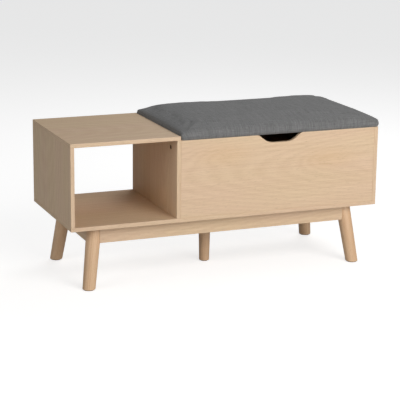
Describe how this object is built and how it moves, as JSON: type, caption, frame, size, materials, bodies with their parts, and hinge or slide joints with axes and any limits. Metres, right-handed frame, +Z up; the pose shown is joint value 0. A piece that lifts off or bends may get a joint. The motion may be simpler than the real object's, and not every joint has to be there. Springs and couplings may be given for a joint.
{
  "type": "storage bench",
  "caption": "Hallway bench: open cubby beside a lidded storage box with a padded lift-up seat, on a rail frame with splayed turned legs and a middle support leg.",
  "frame": {"origin": "on the floor, under the middle of the body and the centre leg", "axes": "+Z up, +X along the bench to the right as seen from its front, +Y from the front to the back; the cubby is at -X and the storage box at +X"},
  "size_m": [1, 0.401, 0.487],
  "materials": {
    "oak_board": "satin",
    "turned_wood": "satin",
    "grey_fabric": "matte",
    "seat_foam": "matte",
    "zinc_steel": "satin",
    "glide_plastic": "matte"
  },
  "bodies": {
    "carcass": {"back_left_corner_brace": "zinc_steel", "back_left_glide": "glide_plastic", "back_left_hanger_bolt": "zinc_steel", "back_left_leg": "turned_wood", "back_panel": "oak_board", "back_rail": "oak_board", "back_right_corner_brace": "zinc_steel", "back_right_glide": "glide_plastic", "back_right_hanger_bolt": "zinc_steel", "back_right_leg": "turned_wood", "bottom_panel": "oak_board", "cam_lock_divider_back": "zinc_steel", "cam_lock_divider_front": "zinc_steel", "cam_lock_left_back": "zinc_steel", "cam_lock_left_front": "zinc_steel", "centre_glide": "glide_plastic", "centre_leg": "turned_wood", "centre_leg_bolt": "zinc_steel", "centre_rail": "oak_board", "cubby_top_panel": "oak_board", "divider_panel": "oak_board", "front_left_corner_brace": "zinc_steel", "front_left_glide": "glide_plastic", "front_left_hanger_bolt": "zinc_steel", "front_left_leg": "turned_wood", "front_panel": "oak_board", "front_rail": "oak_board", "front_right_corner_brace": "zinc_steel", "front_right_glide": "glide_plastic", "front_right_hanger_bolt": "zinc_steel", "front_right_leg": "turned_wood", "hinge_body_leaf_left": "zinc_steel", "hinge_body_leaf_right": "zinc_steel", "hinge_body_screw_left_1": "zinc_steel", "hinge_body_screw_left_2": "zinc_steel", "hinge_body_screw_right_1": "zinc_steel", "hinge_body_screw_right_2": "zinc_steel", "hinge_pin_left": "zinc_steel", "hinge_pin_right": "zinc_steel", "left_rail": "oak_board", "left_side_panel": "oak_board", "right_rail": "oak_board", "right_side_panel": "oak_board", "stay_wall_plate": "zinc_steel", "stay_wall_rivet": "zinc_steel"},
    "lid": {"hinge_lid_leaf_left": "zinc_steel", "hinge_lid_leaf_right": "zinc_steel", "hinge_lid_screw_left_1": "zinc_steel", "hinge_lid_screw_left_2": "zinc_steel", "hinge_lid_screw_right_1": "zinc_steel", "hinge_lid_screw_right_2": "zinc_steel", "lid_board": "oak_board", "seat_cover": "grey_fabric", "seat_foam": "seat_foam", "stay_lid_bracket": "zinc_steel", "stay_lid_rivet": "zinc_steel"},
    "stay_lower": {"stay_elbow_rivet": "zinc_steel", "stay_lower_arm": "zinc_steel"},
    "stay_upper": {"stay_upper_arm": "zinc_steel"}
  },
  "joints": [
    {"name": "lid_hinge", "type": "hinge", "parent": "carcass", "child": "lid", "pos_m": [0.172, 0.2005, 0.4355], "axis": [-1, 0, 0], "range_deg": [0, 90]},
    {"name": "stay_wall_pivot", "type": "hinge", "parent": "carcass", "child": "stay_lower", "pos_m": [0.4845, 0.15, 0.335], "axis": [-1, 0, 0], "range_deg": [0, 90]},
    {"name": "stay_lid_pivot", "type": "hinge", "parent": "lid", "child": "stay_upper", "pos_m": [0.482, 0.09, 0.4225], "axis": [-1, 0, 0], "range_deg": [-90, 0]}
  ],
  "couplings": [
    {"joint": "stay_wall_pivot", "follows": "lid_hinge", "ratio": 1},
    {"joint": "stay_lid_pivot", "follows": "lid_hinge", "ratio": -1}
  ]
}
